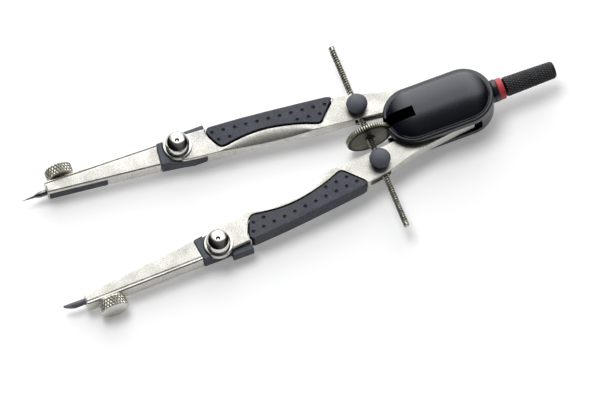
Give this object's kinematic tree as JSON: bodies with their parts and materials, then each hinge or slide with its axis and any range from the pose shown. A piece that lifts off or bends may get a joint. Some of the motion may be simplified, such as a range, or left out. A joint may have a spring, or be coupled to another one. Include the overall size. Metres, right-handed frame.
{
  "type": "drawing compass",
  "caption": "Master bow compass with a centre wheel on a threaded spindle, geared legs, kneed lower legs with a needle and a lead, rubber grips and a knurled handle.",
  "frame": {"origin": "middle of the flat land on the back of the head", "axes": "+X along the handle away from the points, +Y towards the needle leg, +Z out of the front of the head"},
  "size_m": [0.1698, 0.0654, 0.015],
  "materials": {
    "satin_nickel": "satin nickel plate",
    "chrome": "polished",
    "steel": "turned steel",
    "black_plastic": "blue-black, low gloss",
    "slate_plastic": "matt slate",
    "grip_rubber": "soft slate rubber",
    "red_plastic": "satin red",
    "knurled_grey": "charcoal, knurled",
    "graphite": "dull graphite"
  },
  "bodies": {
    "head": {"head_front_cover": "black_plastic", "head_back_cover": "black_plastic", "leg_pivot_pin_a": "steel", "leg_pivot_pin_b": "steel", "neck_collar": "black_plastic", "colour_ring": "red_plastic", "handle": "knurled_grey", "handle_stud": "steel"},
    "spindle": {"threaded_spindle": "steel"},
    "wheel": {"adjusting_wheel": "steel"},
    "leg_a": {"upper_leg_a": "satin_nickel", "grip_a": "grip_rubber", "knee_washer_a": "chrome"},
    "trunnion_a": {"trunnion_nut_a": "steel", "trunnion_cap_front_a": "slate_plastic", "trunnion_cap_back_a": "slate_plastic"},
    "lower_leg_a": {"lower_leg_a": "satin_nickel", "knee_block_a": "slate_plastic", "knee_nut_a": "steel", "clamp_jaw_a": "slate_plastic"},
    "knee_knob_a": {"knee_knob_a": "chrome"},
    "clamp_screw_a": {"clamp_screw_a": "chrome"},
    "leg_b": {"upper_leg_b": "satin_nickel", "grip_b": "grip_rubber", "knee_washer_b": "chrome"},
    "trunnion_b": {"trunnion_nut_b": "steel", "trunnion_cap_front_b": "slate_plastic", "trunnion_cap_back_b": "slate_plastic"},
    "lower_leg_b": {"lower_leg_b": "satin_nickel", "knee_block_b": "slate_plastic", "knee_nut_b": "steel", "clamp_jaw_b": "slate_plastic"},
    "knee_knob_b": {"knee_knob_b": "chrome"},
    "clamp_screw_b": {"clamp_screw_b": "chrome"},
    "needle": {"needle": "steel"},
    "lead": {"lead": "graphite"}
  },
  "joints": [
    {"name": "wheel_turn", "type": "hinge", "parent": "spindle", "child": "wheel", "pos_m": [-0.0231, 0, 0.0075], "axis": [0, 1, 0], "range_deg": [-1582.93, 6331.71]},
    {"name": "leg_a_swing", "type": "hinge", "parent": "head", "child": "leg_a", "pos_m": [0.0059, 0.0044, 0.0075], "axis": [0, 0, -1], "range_deg": [-7.5, 30]},
    {"name": "trunnion_a_turn", "type": "hinge", "parent": "leg_a", "child": "trunnion_a", "pos_m": [-0.0231, 0.00996, 0.0075], "axis": [0, 0, 1], "range_deg": [-7.5, 30]},
    {"name": "knee_a_fold", "type": "hinge", "parent": "leg_a", "child": "lower_leg_a", "pos_m": [-0.0796, 0.01785, 0.0075], "axis": [0, 0, 1], "range_deg": [0, 38]},
    {"name": "knee_knob_a_turn", "type": "hinge", "parent": "leg_a", "child": "knee_knob_a", "pos_m": [-0.0796, 0.01785, 0.0075], "axis": [0, 0, 1], "range_deg": [0, 270]},
    {"name": "clamp_screw_a_turn", "type": "hinge", "parent": "lower_leg_a", "child": "clamp_screw_a", "pos_m": [-0.1166, 0.01785, 0.0075], "axis": [0, 1, 0], "range_deg": [0, 270]},
    {"name": "leg_b_swing", "type": "hinge", "parent": "head", "child": "leg_b", "pos_m": [0.0059, -0.0044, 0.0075], "axis": [0, 0, 1], "range_deg": [-7.5, 30]},
    {"name": "trunnion_b_turn", "type": "hinge", "parent": "leg_b", "child": "trunnion_b", "pos_m": [-0.0231, -0.00996, 0.0075], "axis": [0, 0, -1], "range_deg": [-7.5, 30]},
    {"name": "knee_b_fold", "type": "hinge", "parent": "leg_b", "child": "lower_leg_b", "pos_m": [-0.0796, -0.01785, 0.0075], "axis": [0, 0, -1], "range_deg": [0, 38]},
    {"name": "knee_knob_b_turn", "type": "hinge", "parent": "leg_b", "child": "knee_knob_b", "pos_m": [-0.0796, -0.01785, 0.0075], "axis": [0, 0, 1], "range_deg": [0, 270]},
    {"name": "clamp_screw_b_turn", "type": "hinge", "parent": "lower_leg_b", "child": "clamp_screw_b", "pos_m": [-0.1166, -0.01785, 0.0075], "axis": [0, -1, 0], "range_deg": [0, 270]},
    {"name": "needle_slide", "type": "slide", "parent": "lower_leg_a", "child": "needle", "axis": [-1, 0, 0], "range_m": [-0.002, 0.004]},
    {"name": "lead_slide", "type": "slide", "parent": "lower_leg_b", "child": "lead", "axis": [-1, 0, 0], "range_m": [-0.002, 0.004]},
    {"name": "spindle_travel", "type": "slide", "parent": "trunnion_a", "child": "spindle", "axis": [0, -1, 0], "range_m": [-0.00352, 0.01407]}
  ],
  "couplings": [
    {"joint": "leg_b_swing", "follows": "leg_a_swing", "ratio": 1},
    {"joint": "trunnion_a_turn", "follows": "leg_a_swing", "ratio": 1},
    {"joint": "trunnion_b_turn", "follows": "leg_a_swing", "ratio": 1},
    {"joint": "wheel_turn", "follows": "leg_a_swing", "ratio": 211.06},
    {"joint": "spindle_travel", "follows": "leg_a_swing", "m_per_rad": 0.026873}
  ]
}
